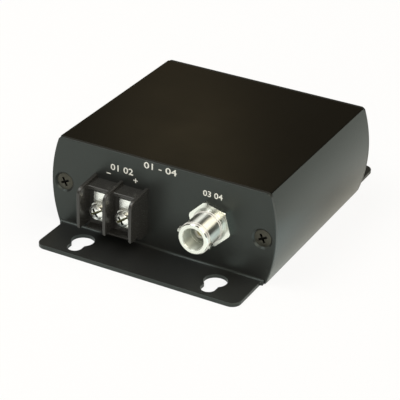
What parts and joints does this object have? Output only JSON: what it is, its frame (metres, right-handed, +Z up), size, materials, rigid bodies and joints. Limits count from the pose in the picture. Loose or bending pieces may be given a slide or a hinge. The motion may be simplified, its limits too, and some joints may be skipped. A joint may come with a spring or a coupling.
{
  "type": "video surge protector",
  "caption": "In-line surge protector box for a camera's coaxial video and power lines, with keyhole feet, a bayonet jack and a barrier terminal at each end.",
  "frame": {"origin": "under the middle of the case, in the plane that the feet and sleeve stand on", "axes": "+Z up, +Y from the front end with its jack on the right to the rear end, +X to the right"},
  "size_m": [0.076, 0.1, 0.03],
  "materials": {
    "case": "satin black anodised extrusion",
    "ferrite": "dark ferrite and wound sleeve",
    "board": "green glass-fibre board with solder mask",
    "epoxy_black": "black moulded epoxy",
    "tin": "bright zinc or tin plate",
    "nickel": "nickel plate on turned brass, polished",
    "contact_gold": "gold flash on brass",
    "insulator": "white insulating plastic",
    "panel": "satin black powder coat on folded steel",
    "black_screw": "black zinc",
    "terminal_plastic": "moulded black thermoplastic, satin",
    "ceramic_white": "white ceramic with metal rings",
    "resistor_body": "beige lacquer",
    "blue_coating": "blue dipped coating"
  },
  "bodies": {
    "root": {"case_body": "case", "choke_line": "ferrite", "choke_return": "ferrite", "circuit_board": "board", "diode_power": "epoxy_black", "diode_video": "epoxy_black", "earth_nut": "tin", "earth_screw": "tin", "earth_tag": "tin", "earth_washer": "tin", "front_jack_body": "nickel", "front_jack_contact": "contact_gold", "front_jack_earth_tag": "tin", "front_jack_insulator": "insulator", "front_jack_link": "tin", "front_jack_lock_washer": "nickel", "front_jack_nut": "nickel", "front_panel": "panel", "front_panel_screw_left": "black_screw", "front_panel_screw_right": "black_screw", "front_terminal_block": "terminal_plastic", "front_terminal_clamp_left": "tin", "front_terminal_clamp_right": "tin", "front_terminal_contact_left": "tin", "front_terminal_contact_right": "tin", "front_terminal_screw_left": "tin", "front_terminal_screw_right": "tin", "gas_tube_power": "ceramic_white", "gas_tube_video": "ceramic_white", "rear_jack_body": "nickel", "rear_jack_contact": "contact_gold", "rear_jack_earth_tag": "tin", "rear_jack_insulator": "insulator", "rear_jack_link": "tin", "rear_jack_lock_washer": "nickel", "rear_jack_nut": "nickel", "rear_panel": "panel", "rear_panel_screw_left": "black_screw", "rear_panel_screw_right": "black_screw", "rear_terminal_block": "terminal_plastic", "rear_terminal_clamp_left": "tin", "rear_terminal_clamp_right": "tin", "rear_terminal_contact_left": "tin", "rear_terminal_contact_right": "tin", "rear_terminal_screw_left": "tin", "rear_terminal_screw_right": "tin", "resistor_video": "resistor_body", "varistor_bridge": "blue_coating", "varistor_line": "blue_coating", "varistor_return": "blue_coating"}
  },
  "joints": []
}
